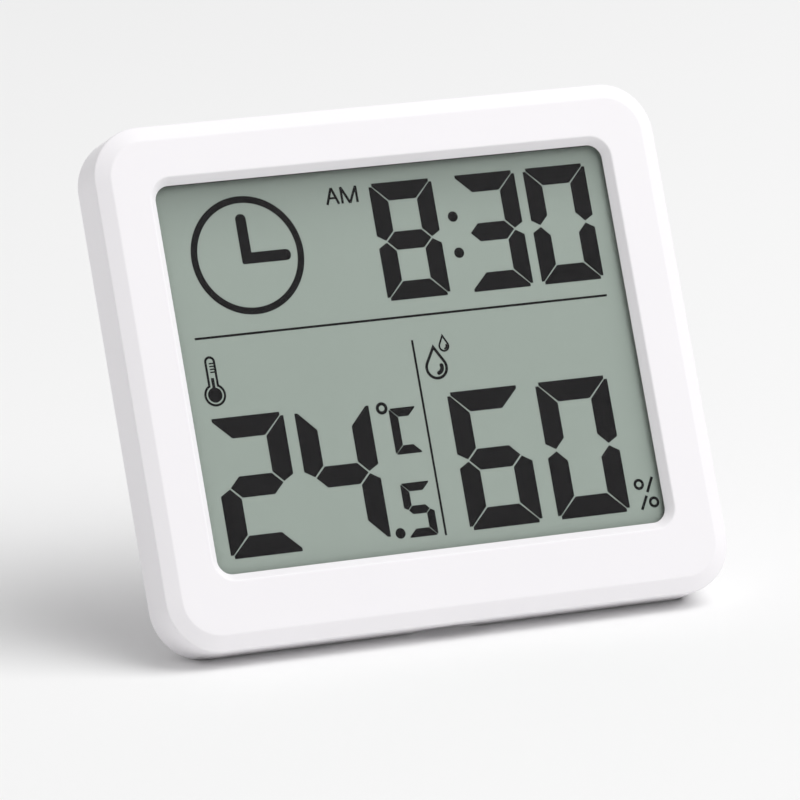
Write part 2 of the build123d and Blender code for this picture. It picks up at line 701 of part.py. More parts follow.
def board_pieces():
    x, v = sensor_point()
    return {
        "lcd_holder": lcd_holder(),
        "zebra_strip": plate(zebra_outline(0), SEGMENTS_D, BOARD_FRONT),
        "circuit_board": circuit_board(),
        "chip_blob": chip_blob(),
        "quartz_crystal": quartz_crystal(),
        "humidity_sensor": humidity_sensor(),
        "temperature_sensor": on_board((x - THERMISTOR_OFFSET, v), THERMISTOR_SIZE),
        "capacitors": component_row((CHIP_CAP_X, CHIP_CAP_V), CHIP_CAP_SIZE),
        "resistors": component_row((CHIP_RES_X, CHIP_RES_V), CHIP_RES_SIZE),
    }


# Screws

def screw(at, radius, length, head_r, head_t, seat):
    """Pan-head screw with a cross recess, its head behind the seat."""
    piece = rod(at, radius, seat - length, seat) + rod(at, head_r, seat, seat + head_t)
    slot_l = 2 * (head_r - SCREW_SLOT_MARGIN)
    for size in ((slot_l, SCREW_SLOT_W), (SCREW_SLOT_W, slot_l)):
        piece -= plate(Pos(*at) * Rectangle(*size), seat + head_t - SCREW_SLOT_D, seat + head_t)
    return piece


def screw_pieces():
    cover = [screw(at, SCREW_R, SCREW_L, SCREW_HEAD_R, SCREW_HEAD_T, SCREW_SEAT)
             for at in cover_screw_points()]
    board = [screw(at, BOARD_SCREW_R, BOARD_SCREW_L, BOARD_HEAD_R, BOARD_HEAD_T, BOARD_BACK)
             for at in board_screw_points()]
    return {"cover_screws": group(cover), "board_screws": group(board)}


# Back cover

def sector(radius, middle_angle, width_angle):
    """Pie slice around the middle of the battery door."""
    reach = radius / cos(radians(width_angle / 2))
    edges = [middle_angle - width_angle / 2, middle_angle + width_angle / 2]
    corners = [(reach * cos(radians(angle)), reach * sin(radians(angle))) for angle in edges]
    return Pos(BATTERY_X, BATTERY_V) * (Polygon((0, 0), *corners) & Circle(radius))


def battery_cup_cuts():
    """Hollow of the battery cup, with the bayonet groove, its entries and the contact slots."""
    at = (BATTERY_X, BATTERY_V)
    cuts = [rod(at, CUP_R, CUP_INNER, GROOVE_FRONT), rod(at, GROOVE_R, GROOVE_FRONT, LEDGE_FRONT),
            rod(at, SKIRT_R + DOOR_GAP, LEDGE_FRONT, COVER_INNER), rod(at, SEAT_R, COVER_INNER, BODY_D)]
    for angle in LUG_AT:
        cuts.append(plate(sector(GROOVE_R, angle - DOOR_TURN, LUG_ENTRY_ANGLE), LEDGE_FRONT, COVER_INNER))
    reach = RING_R + CONTACT_TAIL
    tail_back = BOARD_BACK + CONTACT_T + CONTACT_GAP
    cuts.append(plate(contact_slot(NEGATIVE_OFFSET, reach), CUP_INNER, tail_back))
    cuts.append(plate(contact_slot(0, reach), BOARD_BACK - CONTACT_GAP, tail_back))
    cuts.append(plate(contact_slot(0, CUP_OUT_R), BOARD_BACK - CONTACT_GAP, GROOVE_FRONT))
    return cuts


def keyhole_outline(radius, slot_w):
    slot = Pos(0, KEYHOLE_SLOT_L / 2) * SlotOverall(KEYHOLE_SLOT_L + slot_w, slot_w, rotation=90)
    return Pos(0, KEYHOLE_V) * (Circle(radius) + slot)


def keyhole_room(margin):
    """Space behind the keyhole for the head of a wall screw."""
    half = KEYHOLE_HALF + margin
    return span(-half, half, KEYHOLE_V - half, KEYHOLE_V + KEYHOLE_SLOT_L + half)


def vents():
    first = VENT_V - (VENT_COUNT - 1) * VENT_PITCH / 2
    return [Pos(side * VENT_X, first + i * VENT_PITCH) * SlotOverall(VENT_L, VENT_W)
            for side in (-1, 1) for i in range(VENT_COUNT)]


def post_points():
    return four_points(LCD_W / 2 - POST_INSET, POST_FOOT, LCD_TOP - POST_DROP)


def back_cover():
    rim = case_outline(COVER_INSET)
    rear = case_outline(COVER_INSET + COVER_BEVEL)
    lip = case_outline(WALL + LIP_GAP)
    cover = plate(rim, SHELL_D, SHELL_D + COVER_RIM) + bevelled(rim, SHELL_D + COVER_RIM, rear, BODY_D)
    cover += plate(lip, LIP_FRONT, SHELL_D)
    cover -= plate(case_outline(WALL + LIP_GAP + LIP_T), LIP_FRONT, COVER_INNER)

    pocket_half = RECESS_HALF + RECESS_WALL
    lip_foot = WALL + LIP_GAP
    cover += plate(span(-pocket_half, pocket_half, lip_foot, RECESS_TOP + RECESS_WALL),
                   RECESS_FLOOR - RECESS_FLOOR_T, COVER_INNER)
    cover += plate(keyhole_room(KEYHOLE_WALL), KEYHOLE_FLOOR - KEYHOLE_FLOOR_T, COVER_INNER)
    battery = (BATTERY_X, BATTERY_V)
    cover += rod(battery, CUP_OUT_R, CUP_FRONT, COVER_INNER)
    cover += rod(battery, RING_R, GROOVE_FRONT - DOOR_RING, COVER_INNER)
    for at in cover_screw_points():
        cover += rod(at, BOSS_R, BOSS_END, COVER_INNER)
    for at in post_points():
        cover += rod(at, POST_R, BOARD_BACK, COVER_INNER)

    cover -= plate(span(-RECESS_HALF, RECESS_HALF, lip_foot + LIP_T, RECESS_TOP), RECESS_FLOOR, BODY_D)
    cover -= plate(span(-RECESS_HALF, RECESS_HALF, 0, lip_foot + LIP_T), SHELL_D, BODY_D)
    bearing_l = 2 * (RECESS_HALF + TRUNNION_L)
    cover -= Pos(0, HINGE_D, HINGE_V) * Rot(0, 90, 0) * Cylinder(TRUNNION_R + TRUNNION_GAP, bearing_l)
    cover -= plate(keyhole_room(0), KEYHOLE_FLOOR, COVER_INNER)
    cover -= plate(keyhole_outline(KEYHOLE_R, KEYHOLE_SLOT_W), COVER_INNER, BODY_D)
    for cut in battery_cup_cuts():
        cover -= cut
    for at in cover_screw_points():
        cover -= rod(at, SCREW_R + SCREW_GAP, BOSS_END, BODY_D)
        cover -= rod(at, SCREW_HEAD_R + SCREW_GAP, SCREW_SEAT, BODY_D)
    for v in BUTTON_V.values():
        cover -= rod((BUTTON_X, v), BUTTON_R + BUTTON_GAP, COVER_INNER, BODY_D)
    for vent in vents():
        cover -= plate(vent, COVER_INNER, BODY_D)
    return cover


# Battery

def coin_cell():
    at = (BATTERY_X, BATTERY_V)
    return (rod(at, CELL_R, CELL_FRONT + CELL_CAP_T, CELL_BACK)
            + rod(at, CELL_CAP_R, CELL_FRONT, CELL_FRONT + CELL_CAP_T))


def battery_negative_contact():
    """Strip under the cell that rises through the cup wall and lies on the board."""
    x = BATTERY_X + NEGATIVE_OFFSET
    left, right = x - CONTACT_W / 2, x + CONTACT_W / 2
    riser = BATTERY_V + CUP_OUT_R - CONTACT_T
    tail = BATTERY_V + RING_R + CONTACT_TAIL - CONTACT_GAP
    low, high = sorted((CUP_INNER, BOARD_BACK))
    strip = plate(span(left, right, BATTERY_V - CELL_R / 2, riser), CUP_INNER, CELL_FRONT)
    strip += plate(span(left, right, riser, riser + CONTACT_T), low, high + CONTACT_T)
    return strip + plate(span(left, right, riser, tail), BOARD_BACK, BOARD_BACK + CONTACT_T)


def battery_positive_contact():
    """Clip that stands beside the cell's can, with its tail on the board."""
    left, right = BATTERY_X - CONTACT_W / 2, BATTERY_X + CONTACT_W / 2
    clip = BATTERY_V + CELL_R + CLIP_GAP
    tail = BATTERY_V + RING_R + CONTACT_TAIL - CONTACT_GAP
    piece = plate(span(left, right, clip, clip + CONTACT_T), BOARD_BACK, GROOVE_FRONT - CONTACT_GAP)
    return piece + plate(span(left, right, clip, tail), BOARD_BACK, BOARD_BACK + CONTACT_T)


def battery_door():
    at = (BATTERY_X, BATTERY_V)
    skirt_front = LEDGE_FRONT - DOOR_LIFT - LUG_T
    underside = COVER_INNER + DOOR_LIFT
    door = rod(at, DOOR_R, underside, BODY_D)
    door += ring(at, SKIRT_R, SKIRT_IN_R, skirt_front, underside)
    for angle in LUG_AT:
        lug = sector(LUG_R, angle, LUG_ANGLE) - Pos(*at) * Circle(SKIRT_IN_R)
        door += plate(lug, skirt_front, skirt_front + LUG_T)
    return door - plate(Pos(*at) * SlotOverall(COIN_SLOT_L, COIN_SLOT_W), BODY_D - COIN_SLOT_D, BODY_D)


def battery_pieces():
    return {
        "coin_cell": coin_cell(),
        "battery_negative_contact": battery_negative_contact(),
        "battery_positive_contact": battery_positive_contact(),
        "battery_door": battery_door(),
    }


# Stand and buttons

def floor_height(depth, v):
    """Height of a point of the upright case above the axis that the case is leaned about."""
    return v * cos(radians(LEAN)) - depth * sin(radians(LEAN))


FLOOR = floor_height(SHELL_D - FOOT_LAND * cos(radians(LEAN)), 0)


def stand_leg():
    """Tongue with trunnions, folded flat and then turned out to its stop."""
    drop = floor_height(HINGE_D, HINGE_V) - FLOOR
    rake = radians(STAND_OPEN - LEAN)
    reach = drop / cos(rake) + LEG_T * tan(rake)
    front, back = HINGE_D - LEG_T / 2, HINGE_D + LEG_T / 2
    leg = plate(span(-LEG_W / 2, LEG_W / 2, HINGE_V - reach, HINGE_V + LEG_HEEL), front, back)
    leg = fillet(leg.faces().sort_by(Axis.Y)[-1].edges(), LEG_EDGE_R)
    panel_half = LEG_W / 2 - LEG_PANEL_MARGIN
    panel_foot = HINGE_V - reach + 2 * LEG_PANEL_MARGIN
    panel = span(-panel_half, panel_half, panel_foot, HINGE_V - LEG_PANEL_MARGIN)
    leg -= plate(panel, back - LEG_PANEL_D, back)
    leg += Pos(0, HINGE_D, HINGE_V) * Rot(0, 90, 0) * Cylinder(TRUNNION_R, LEG_W + 2 * TRUNNION_L)
    return leg.rotate(Axis((0, HINGE_D, HINGE_V), (1, 0, 0)), STAND_OPEN)


def push_button(at):
    top = BODY_D + BUTTON_PROUD
    cap = rod(at, BUTTON_R, FLANGE_BACK, top)
    cap = fillet(cap.faces().sort_by(Axis.Y)[-1].edges(), BUTTON_EDGE_R)
    cap += rod(at, BUTTON_R + BUTTON_FLANGE, FLANGE_FRONT, FLANGE_BACK)
    return cap + rod(at, BUTTON_STEM_R, PLUNGER_BACK, FLANGE_FRONT)


def tact_switch(at):
    body = on_board(at, (SWITCH_W, SWITCH_W, SWITCH_H))
    return body - rod(at, PLUNGER_R + PLUNGER_GAP, BOARD_BACK + SWITCH_FLOOR, SWITCH_BACK)


def control_pieces():
    pieces = {"stand_leg": stand_leg()}
    for name, v in BUTTON_V.items():
        at = (BUTTON_X, v)
        pieces[f"{name}_button"] = push_button(at)
        pieces[f"{name}_switch"] = tact_switch(at)
        pieces[f"{name}_plunger"] = rod(at, PLUNGER_R, SWITCH_BACK - PLUNGER_IN, PLUNGER_BACK)
    return pieces


# Assembly

pieces = {"front_shell": front_shell(), "back_cover": back_cover()}
for family in (display_pieces, board_pieces, screw_pieces, battery_pieces, control_pieces):
    pieces.update(family())

# Everything leans back, and the case's lower rear edge and the leg are cut flat at the floor.
lean_back = Pos(0, 0, -FLOOR) * Rot(-LEAN, 0, 0)
pieces = {name: lean_back * piece for name, piece in pieces.items()}
down = (Align.CENTER, Align.CENTER, Align.MAX)
under_floor = Box(2 * BODY_W, 4 * BODY_H, BODY_H, align=down)
for name in ("front_shell", "stand_leg"):
    pieces[name] -= under_floor

extent = Compound([solid for piece in pieces.values() for solid in piece.solids()]).bounding_box()
centre = Pos(0, -(extent.min.Y + extent.max.Y) / 2, 0)
os.makedirs("parts", exist_ok=True)
for name, piece in pieces.items():
    placed = centre * piece
    placed.label = name
    export_step(placed, f"parts/{name}.step")
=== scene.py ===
import json
from math import asin, cos, pi, radians, sin, sqrt

import bmesh
import bpy
from mathutils import Matrix, Vector


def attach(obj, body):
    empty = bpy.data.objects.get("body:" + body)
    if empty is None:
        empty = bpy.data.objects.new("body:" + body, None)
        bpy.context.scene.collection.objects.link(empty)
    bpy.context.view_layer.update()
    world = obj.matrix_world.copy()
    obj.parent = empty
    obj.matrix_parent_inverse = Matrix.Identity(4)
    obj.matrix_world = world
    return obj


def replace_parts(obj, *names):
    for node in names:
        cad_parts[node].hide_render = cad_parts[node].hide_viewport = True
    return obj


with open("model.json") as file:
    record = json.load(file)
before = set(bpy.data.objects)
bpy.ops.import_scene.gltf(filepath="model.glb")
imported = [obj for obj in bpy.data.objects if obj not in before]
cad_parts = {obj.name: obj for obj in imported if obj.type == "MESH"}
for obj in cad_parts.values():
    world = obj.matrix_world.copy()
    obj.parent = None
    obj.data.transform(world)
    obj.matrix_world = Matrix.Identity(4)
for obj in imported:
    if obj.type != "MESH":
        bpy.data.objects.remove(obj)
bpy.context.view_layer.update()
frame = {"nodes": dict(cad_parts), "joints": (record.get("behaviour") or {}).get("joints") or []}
nodes = frame["nodes"]
joints = {joint["name"]: joint for joint in frame["joints"]}
mm = 0.001
print("frame loaded,", len(nodes), "nodes")


# The case leans back. Its buttons travel straight towards the front, which gives the lean.
across = Vector((1, 0, 0))
outward = Vector(joints["mode_press"]["axis"]).normalized()
upward = outward.cross(across)


def reach(node, direction):
    return max(vert.co.dot(direction) for vert in nodes[node].data.vertices)


# flat working frame of the case: x across, y up from the bottom edge, z out of the front face
caseOrigin = outward * reach("front_shell", outward) - upward * reach("front_shell", -upward)
caseFrame = Matrix.Translation(caseOrigin) @ Matrix((across, upward, outward)).transposed().to_4x4()
caseWidth = 2 * reach("front_shell", across)
caseHeight = reach("front_shell", upward) + reach("front_shell", -upward)


def extent(node, direction):  # from and to, in the working frame
    start = caseOrigin.dot(direction)
    return -reach(node, -direction) - start, reach(node, direction) - start


window = {
    "width": 63.9 * mm,
    "height": 51.3 * mm,
    "foot": 9.85 * mm,           # from the bottom edge of the case
    "radius": 2.0 * mm,
    "bevelAcross": 1.0 * mm,
    "bevelDeep": 1.05 * mm,
}
windowMiddle = window["foot"] + window["height"] / 2
print("case", round(caseWidth / mm, 2), "x", round(caseHeight / mm, 2), "mm")


# Finishes

class Wire:  # a node's output, with plain arithmetic
    def __init__(self, graph, socket):
        self.graph = graph
        self.socket = socket

    def maths(self, operation, first, second):
        return self.graph.add("ShaderNodeMath", {"operation": operation}, {0: first, 1: second})

    def __add__(self, other):
        return self.maths("ADD", self, other)

    def __radd__(self, other):
        return self.maths("ADD", other, self)

    def __sub__(self, other):
        return self.maths("SUBTRACT", self, other)

    def __rsub__(self, other):
        return self.maths("SUBTRACT", other, self)

    def __mul__(self, other):
        return self.maths("MULTIPLY", self, other)

    def __rmul__(self, other):
        return self.maths("MULTIPLY", other, self)

    def __abs__(self):
        return self.maths("ABSOLUTE", self, 0.0)

    def orMore(self, other):
        return self.maths("MAXIMUM", self, other)

    def clamped(self):
        return self.graph.add("ShaderNodeClamp", {}, {"Value": self})


class Graph:  # the nodes of one material or of the world
    def __init__(self, owner):
        owner.use_nodes = True
        self.tree = owner.node_tree
        self.tree.nodes.clear()

    def feed(self, node, sockets):
        for key, value in sockets.items():
            if isinstance(value, Wire):
                self.tree.links.new(value.socket, node.inputs[key])
            else:
                node.inputs[key].default_value = value

    def add(self, kind, settings, sockets, output=0):
        node = self.tree.nodes.new(kind)
        for key, value in settings.items():
            setattr(node, key, value)
        self.feed(node, sockets)
        return Wire(self, node.outputs[output]) if node.outputs else node

    def seenRays(self):  # 1 where the camera, a reflection or a clear sheet looks straight at it
        byCamera, byGlossy, byClear = [self.add("ShaderNodeLightPath", {}, {}, f"Is {kind} Ray")
                                       for kind in ("Camera", "Glossy", "Transmission")]
        return byCamera.orMore(byGlossy).orMore(byClear)


class Finish(Graph):  # one material around one shader
    def __init__(self, name, **fixed):
        self.material = bpy.data.materials.new(name)
        super().__init__(self.material)
        self.shader = self.tree.nodes.new("ShaderNodeBsdfPrincipled")
        self.add("ShaderNodeOutputMaterial", {}, {"Surface": Wire(self, self.shader.outputs[0])})
        self.place = self.add("ShaderNodeTexCoord", {}, {}, "Object")
        self.set(fixed)

    def set(self, sockets):
        self.feed(self.shader, sockets)

    def noise(self, scale, detail=2.0):
        return self.add("ShaderNodeTexNoise", {},
                        {"Vector": self.place, "Scale": scale, "Detail": detail}, "Fac")

    def along(self, direction):  # distance in one direction
        return self.add("ShaderNodeVectorMath", {"operation": "DOT_PRODUCT"},
                        {0: self.place, 1: tuple(direction)}, "Value")

    def mix(self, factor, first, second):
        ends = {6: (*first, 1) if isinstance(first, tuple) else first,
                7: (*second, 1) if isinstance(second, tuple) else second}
        return self.add("ShaderNodeMix", {"data_type": "RGBA"}, {0: factor, **ends}, 2)

    def relief(self, height, strength, distance):
        self.set({"Normal": self.add("ShaderNodeBump", {}, {
            "Height": height, "Strength": strength, "Distance": distance})})


moulding = {                     # what all moulded pieces share
    "gloss": 0.35,
    "cloudScale": 65,            # slow drift from the light to the shade colour
    "cloudDetail": 3,
    "smearScale": 700,           # uneven gloss
    "smear": 0.12,
    "grainStrength": 0.3,
}
whiteResin = ((0.884, 0.865, 0.888), (0.862, 0.843, 0.866), 0.42)
plastics = {                     # light and shade colour, roughness, scale and depth of the grain
    "shell_plastic": (*whiteResin, 5200, 0.010 * mm),
    "cover_plastic": (*whiteResin, 3600, 0.018 * mm),
    # the window wall's dark colour is painted shade, put where only shadow falls on the white plastic
    "window_wall_painted_shade": ((0.17, 0.175, 0.17), (0.14, 0.145, 0.14), 0.5, 4200, 0.008 * mm),
    "button_plastic": ((0.80, 0.785, 0.81), (0.77, 0.755, 0.78), 0.36, 6500, 0.006 * mm),
    "sign_ink": ((0.20, 0.205, 0.215), (0.165, 0.17, 0.18), 0.5, 4500, 0.006 * mm),
    "epoxy_seal": ((0.30, 0.32, 0.30), (0.24, 0.26, 0.24), 0.4, 2600, 0.010 * mm),
    "holder_plastic": ((0.72, 0.72, 0.70), (0.66, 0.66, 0.64), 0.45, 3000, 0.012 * mm),
    "black_resin": ((0.02, 0.02, 0.021), (0.012, 0.012, 0.013), 0.22, 900, 0.030 * mm),
    "component_black": ((0.03, 0.03, 0.032), (0.02, 0.02, 0.022), 0.5, 4200, 0.010 * mm),
    "component_tan": ((0.42, 0.29, 0.17), (0.34, 0.23, 0.13), 0.4, 3800, 0.008 * mm),
    "plunger_plastic": ((0.05, 0.05, 0.052), (0.035, 0.035, 0.037), 0.42, 3800, 0.010 * mm),
}


def mouldedPlastic(name, light, shade, roughness, grainScale, grainDepth):
    finish = Finish(name, **{"Specular IOR Level": moulding["gloss"]})
    cloud = finish.noise(moulding["cloudScale"], moulding["cloudDetail"])
    smear = finish.noise(moulding["smearScale"])
    finish.set({"Base Color": finish.mix(cloud, light, shade),
                "Roughness": roughness + moulding["smear"] * smear})
    finish.relief(finish.noise(grainScale, detail=1), moulding["grainStrength"], grainDepth)
    return finish.material


brushing = {"stretch": (0.04, 1, 1), "detail": 3.0, "smear": 0.2, "strength": 0.15, "depth": 0.006 * mm}
metals = {                       # light and shade colour, roughness, scale of the brushed lines
    "screw_steel": ((0.58, 0.58, 0.59), (0.45, 0.45, 0.46), 0.28, 2800),
    "reflector_foil": ((0.62, 0.64, 0.62), (0.54, 0.56, 0.54), 0.35, 5000),
    "bright_can": ((0.80, 0.79, 0.77), (0.70, 0.69, 0.67), 0.22, 2500),
    "nickel_contact": ((0.72, 0.69, 0.62), (0.62, 0.59, 0.53), 0.25, 3000),
    "cell_steel": ((0.76, 0.76, 0.75), (0.67, 0.67, 0.66), 0.24, 2200),
}


def brushedMetal(name, light, shade, roughness, scale):
    finish = Finish(name, Metallic=1.0)
    along = finish.add("ShaderNodeMapping", {}, {"Vector": finish.place, "Scale": brushing["stretch"]})
    lines = finish.add("ShaderNodeTexNoise", {},
                       {"Vector": along, "Scale": scale, "Detail": brushing["detail"]}, "Fac")
    finish.set({"Base Color": finish.mix(lines, light, shade),
                "Roughness": roughness + brushing["smear"] * lines})
    finish.relief(lines, brushing["strength"], brushing["depth"])
    return finish.material


clearTone = {"gloss": 0.3, "cloudScale": 120, "cloudShade": 0.9, "smearScale": 4000, "smear": 0.1}
clearFilms = {                   # tint, how much of it shows, roughness
    "polariser_film": ((0.24, 0.27, 0.25), 0.012, 0.35),
    "display_glass": ((0.20, 0.24, 0.22), 0.008, 0.12),
}


def clearSheet(name, tint, alpha, roughness):  # the display's see-through layers
    finish = Finish(name, Alpha=alpha, **{"Specular IOR Level": clearTone["gloss"]})
    tintShade = tuple(clearTone["cloudShade"] * channel for channel in tint)
    finish.set({"Base Color": finish.mix(finish.noise(clearTone["cloudScale"]), tint, tintShade),
                "Roughness": roughness + clearTone["smear"] * finish.noise(clearTone["smearScale"])})
    return finish.material


display = {
    "gloss": 0.1,
    "green": (0.362, 0.421, 0.378),
    "greenShade": (0.347, 0.406, 0.363),
    "cloudScale": 45,
    "silver": (0.55, 0.60, 0.56),    # fine grain of the reflector
    "grainScale": 9000,
    "grain": 0.10,
    "roughness": 0.5,
    "smear": 0.15,
    "paintedTopShadow": 0.33,                # painted shadow: how much darker the ground is painted at the top of the window
    "paintedTopShadowReach": 12.0 * mm,
    "paintedTopShadowColour": (0.01, 0.012, 0.011),
    "paintedGapShadow": (0.13, 0.14, 0.132),   # painted shadow of the gap under the bezel, just beyond the top and bottom of the window
    "paintedGapShadowBlur": 0.03 * mm,
}


def displayGround():
    finish = Finish("display_ground", **{"Specular IOR Level": display["gloss"]})
    grain = finish.noise(display["grainScale"], detail=1)
    green = finish.mix(finish.noise(display["cloudScale"]), display["green"], display["greenShade"])
    silver = finish.mix(display["grain"] * grain, green, display["silver"])
    # painted shadow: the ground is painted darker towards the top of the window, as if shaded by the
    # bezel above it
    height = finish.along(upward) - (caseOrigin.dot(upward) + windowMiddle)
    paintedTopShadowRamp = 1 - ((window["height"] / 2 - height) * (1 / display["paintedTopShadowReach"])).clamped()
    withPaintedTopShadow = finish.mix(display["paintedTopShadow"] * paintedTopShadowRamp * paintedTopShadowRamp, silver, display["paintedTopShadowColour"])
    # painted shadow: a dark band just beyond the top and bottom of the window, standing in for the shaded
    # gap under the bezel
    paintedGapShadow = ((abs(height) - window["height"] / 2) * (1 / display["paintedGapShadowBlur"])).clamped()
    finish.set({"Base Color": finish.mix(paintedGapShadow, withPaintedTopShadow, display["paintedGapShadow"]),
                "Roughness": display["roughness"] + display["smear"] * grain})
    return finish.material


inkTone = {
    "gloss": 0.03,
    "dark": (0.0100, 0.0082, 0.0098),
    "pale": (0.0125, 0.0105, 0.0120),
    "cloudScale": 500,
    "roughness": 0.6,
    "smearScale": 5000,
    "smear": 0.1,
}


def displayInk():
    finish = Finish("display_ink", **{"Specular IOR Level": inkTone["gloss"]})
    cloud = finish.noise(inkTone["cloudScale"])
    smear = finish.noise(inkTone["smearScale"])
    finish.set({"Base Color": finish.mix(cloud, inkTone["dark"], inkTone["pale"]),
                "Roughness": inkTone["roughness"] + inkTone["smear"] * smear})
    return finish.material


laminate = {
    "gloss": 0.5,
    "resin": (0.012, 0.085, 0.035),
    "resinShade": (0.010, 0.066, 0.028),
    "cloudScale": 1400,
    "thread": (0.03, 0.16, 0.07),
    "threadShows": 0.55,
    "weave": {"Scale": 260.0, "Mortar Size": 0.09, "Mortar Smooth": 0.1},
    "weaveStrength": 0.3,
    "weaveDepth": 0.02 * mm,
    "roughness": 0.3,
    "smearScale": 1800,
    "smear": 0.15,
}


def boardLaminate():
    finish = Finish("board_laminate", **{"Specular IOR Level": laminate["gloss"]})
    weave = finish.add("ShaderNodeTexBrick", {"offset": 0.5},
                       {"Vector": finish.place, **laminate["weave"]}, "Fac")
    green = finish.mix(finish.noise(laminate["cloudScale"]), laminate["resin"], laminate["resinShade"])
    smear = finish.noise(laminate["smearScale"])
    finish.set({"Base Color": finish.mix(laminate["threadShows"] * weave, green, laminate["thread"]),
                "Roughness": laminate["roughness"] + laminate["smear"] * smear})
    finish.relief(weave, laminate["weaveStrength"], laminate["weaveDepth"])
    return finish.material


zebra = {
    "rubber": (0.62, 0.40, 0.42),
    "carbon": (0.05, 0.045, 0.05),
    "bandScale": 900.0,
    "roughness": 0.6,
    "smearScale": 2500,
    "smear": 0.15,
}


def zebraRubber():  # thin conducting layers along the strip
    finish = Finish("zebra_rubber")
    bands = finish.add("ShaderNodeTexWave", {"bands_direction": "X"},
                       {"Vector": finish.place, "Scale": zebra["bandScale"], "Distortion": 0.0}, "Fac")
    finish.set({"Base Color": finish.mix(bands, zebra["rubber"], zebra["carbon"]),
                "Roughness": zebra["roughness"] + zebra["smear"] * finish.noise(zebra["smearScale"])})
    return finish.material


plastic = {name: mouldedPlastic(name, *details) for name, details in plastics.items()}
metal = {name: brushedMetal(name, *details) for name, details in metals.items()}
clear = {name: clearSheet(name, *details) for name, details in clearFilms.items()}
inkFinish = displayInk()
slotFinish = {
    "white_plastic": plastic["cover_plastic"],
    "button_plastic": plastic["button_plastic"],
    "polariser_film": clear["polariser_film"],
    "lcd_glass": displayGround(),    # the rear glass is coated, so it carries the display's colour
    "lcd_segments": inkFinish,
    "epoxy_seal": plastic["epoxy_seal"],
    "lcd_reflector": metal["reflector_foil"],
    "holder_plastic": plastic["holder_plastic"],
    "zebra_rubber": zebraRubber(),
    "board_laminate": boardLaminate(),
    "black_resin": plastic["black_resin"],
    "bright_metal": metal["bright_can"],
    "component_black": plastic["component_black"],
    "component_tan": plastic["component_tan"],
    "plunger_plastic": plastic["plunger_plastic"],
    "contact_metal": metal["nickel_contact"],
    "cell_steel": metal["cell_steel"],
    "screw_steel": metal["screw_steel"],
}
for node in nodes.values():
    for slot in node.material_slots:
        slot.material = slotFinish[slot.name]
print("finishes set,", len(slotFinish), "slots")


# Meshes

mergeWithin = 0.001 * mm         # loose points closer than this are one point
sharpFrom = 35                   # degrees, a steeper edge isn't shaded smooth


def asPiece(bm, name, body, slot, *materials):
    mesh = bpy.data.meshes.new(name)
    bm.to_mesh(mesh)
    bm.free()
    for material in materials:
        mesh.materials.append(material)
    piece = bpy.data.objects.new(name, mesh)
    bpy.context.scene.collection.objects.link(piece)
    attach(piece, body)
    return smoothed(piece)


def smoothed(piece):
    piece.data.shade_smooth()
    piece.data.set_sharp_from_angle(angle=radians(sharpFrom))
    piece.modifiers.clear()
    even = piece.modifiers.new("even_shading", "WEIGHTED_NORMAL")
    even.keep_sharp = True
    return piece


def roundCorners(bm, corners, offset, steps):
    bmesh.ops.bevel(bm, geom=corners, offset=offset, segments=steps, profile=0.5, affect="VERTICES",
                    material=-1)


def roundEdges(bm, edges, offset, steps):
    bmesh.ops.bevel(bm, geom=edges, offset=offset, segments=steps, profile=0.5, affect="EDGES",
                    material=-1)


def roundedLoop(bm, width, height, radius, middle, level, steps):  # rectangle with round corners
    before = set(bm.edges)
    corners = bmesh.ops.create_grid(bm, x_segments=1, y_segments=1, size=0.5)["verts"]
    bmesh.ops.scale(bm, vec=(width, height, 1), verts=corners)
    bmesh.ops.translate(bm, vec=(0, middle, level), verts=corners)
    roundCorners(bm, corners, radius, steps)
    loop = [edge for edge in bm.edges if edge not in before]
    bmesh.ops.delete(bm, geom=loop[0].link_faces[:], context="FACES_ONLY")
    return loop


def post(bm, at, radius, front, back, steps=32):  # round post or hole, between two depths
    made = bmesh.ops.create_cone(bm, cap_ends=True, segments=steps, radius1=radius, radius2=radius,
                                 depth=back - front)
    bmesh.ops.translate(bm, vec=(*at, -(front + back) / 2), verts=made["verts"])


def block(bm, at, size, front, back):  # upright block, between two depths
    made = bmesh.ops.create_cube(bm, size=1.0)
    bmesh.ops.scale(bm, vec=(*size, back - front), verts=made["verts"])
    bmesh.ops.translate(bm, vec=(*at, -(front + back) / 2), verts=made["verts"])


def combine(piece, bm, operation):  # joins a shape to a piece, or cuts it out
    bmesh.ops.recalc_face_normals(bm, faces=bm.faces)
    bmesh.ops.transform(bm, matrix=caseFrame, verts=bm.verts)
    mesh = bpy.data.meshes.new("tool")
    bm.to_mesh(mesh)
    bm.free()
    tool = bpy.data.objects.new("tool", mesh)
    bpy.context.scene.collection.objects.link(tool)
    piece.modifiers.clear()
    step = piece.modifiers.new("combine", "BOOLEAN")
    step.operation = operation
    step.solver = "EXACT"
    step.object = tool
    evaluated = piece.evaluated_get(bpy.context.evaluated_depsgraph_get())
    piece.data = bpy.data.meshes.new_from_object(evaluated)
    bpy.data.objects.remove(tool)
    smoothed(piece)


